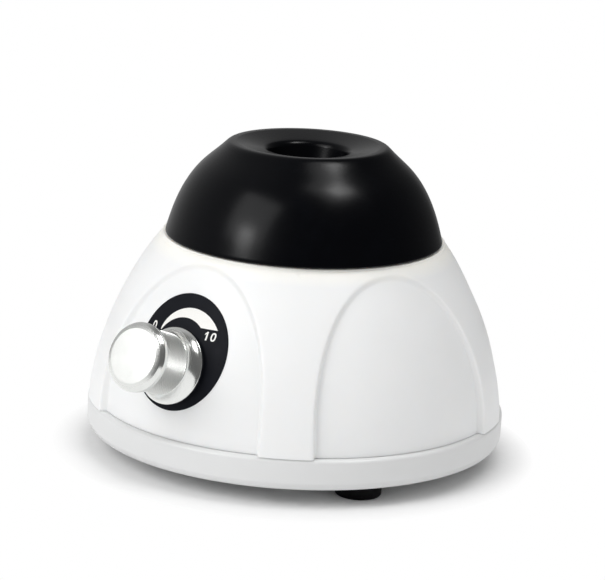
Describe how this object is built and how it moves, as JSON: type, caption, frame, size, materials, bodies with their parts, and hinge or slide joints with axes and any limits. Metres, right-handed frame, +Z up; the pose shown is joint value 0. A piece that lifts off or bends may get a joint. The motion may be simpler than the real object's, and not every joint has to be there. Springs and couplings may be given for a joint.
{
  "type": "test tube shaker",
  "caption": "Small round bench shaker for test tubes: dished rubber cup that orbits on a domed housing, with a sloping dial, a knurled speed knob, rubber feet and a rear power socket.",
  "frame": {"origin": "on the motor's axis, in the plane that the four feet stand on", "axes": "+Z up along the motor's axis, -Y towards the dial and the knob, +X to the right seen from the dial"},
  "size_m": [0.125, 0.1406, 0.0935],
  "materials": {
    "moulded_white": "fine satin moulding, slightly warm",
    "moulded_grey": "fine satin moulding, slightly grey",
    "black_rubber": "smooth satin",
    "foot_rubber": "matt",
    "dial_black": "semi-gloss printed sheet",
    "knob_aluminium": "turned face, polished rims, knurled grip",
    "zinc_steel": "zinc plated",
    "bearing_steel": "ground",
    "ballast_iron": "black coated",
    "laminations": "stacked sheets",
    "ferrite": "sintered",
    "copper": "enamelled copper wire",
    "brass": "plain",
    "bronze": "sintered, oiled",
    "nylon_black": "glass-filled",
    "nylon_natural": "self-coloured",
    "board_green": "solder resist",
    "component_black": "moulded",
    "clamp_green": "moulded",
    "wire_black": "insulation",
    "wire_red": "insulation",
    "wire_grey": "insulation"
  },
  "bodies": {
    "base": {"upper_housing": "moulded_white", "base_pan": "moulded_grey", "feet": "foot_rubber", "foot_screws": "zinc_steel", "housing_screws": "zinc_steel", "ballast_plate": "ballast_iron", "ballast_screws": "zinc_steel", "motor_bracket": "zinc_steel", "bracket_standoffs": "zinc_steel", "bracket_isolators": "foot_rubber", "bracket_screws": "zinc_steel", "guide_pins": "zinc_steel", "guide_sleeves": "nylon_natural", "motor_can": "zinc_steel", "motor_end_bell": "nylon_black", "motor_bushings": "bronze", "motor_magnets": "ferrite", "motor_terminals": "brass", "motor_screws": "zinc_steel", "dial_plate": "dial_black", "pot_body": "zinc_steel", "pot_washer": "zinc_steel", "pot_nut": "zinc_steel", "pot_terminals": "brass", "jack_body": "nylon_black", "jack_nut": "zinc_steel", "jack_contacts": "brass", "circuit_board": "board_green", "board_spacers": "brass", "board_screws": "zinc_steel", "capacitor": "component_black", "power_transistor": "component_black", "heat_sink": "knob_aluminium", "terminal_blocks": "clamp_green", "control_chip": "component_black", "jack_leads": "wire_red", "motor_leads": "wire_black", "pot_leads": "wire_grey"},
    "crank": {"motor_shaft": "bearing_steel", "armature_core": "laminations", "armature_windings": "copper", "commutator": "copper", "eccentric_hub": "zinc_steel", "hub_set_screw": "zinc_steel", "counterweight": "zinc_steel", "counterweight_screws": "zinc_steel", "bearing_inner_race": "bearing_steel", "pin_clip": "zinc_steel"},
    "ball_set": {"bearing_balls": "bearing_steel", "bearing_cage": "nylon_natural"},
    "head": {"rubber_cup": "black_rubber", "cup_carrier": "nylon_black", "cup_inserts": "brass", "cup_screws": "zinc_steel", "bearing_outer_race": "bearing_steel", "bearing_retainer": "zinc_steel", "retainer_screws": "zinc_steel"},
    "knob": {"speed_knob": "knob_aluminium", "knob_set_screw": "zinc_steel", "pot_shaft": "brass"}
  },
  "joints": [
    {"name": "motor_spin", "type": "hinge", "parent": "base", "child": "crank", "pos_m": [0, 0, 0.06], "axis": [0, 0, 1], "continuous": true},
    {"name": "head_pivot", "type": "hinge", "parent": "crank", "child": "head", "pos_m": [0.00122, -0.00158, 0.07], "axis": [0, 0, 1], "continuous": true},
    {"name": "ball_roll", "type": "hinge", "parent": "crank", "child": "ball_set", "pos_m": [0.00122, -0.00158, 0.07], "axis": [0, 0, 1], "continuous": true},
    {"name": "knob_turn", "type": "hinge", "parent": "base", "child": "knob", "pos_m": [0, -0.05778, 0.0355], "axis": [0, 0.9397, -0.342], "range_deg": [0, 280]}
  ],
  "couplings": [
    {"joint": "head_pivot", "follows": "motor_spin", "ratio": -1},
    {"joint": "ball_roll", "follows": "motor_spin", "ratio": -0.64}
  ]
}
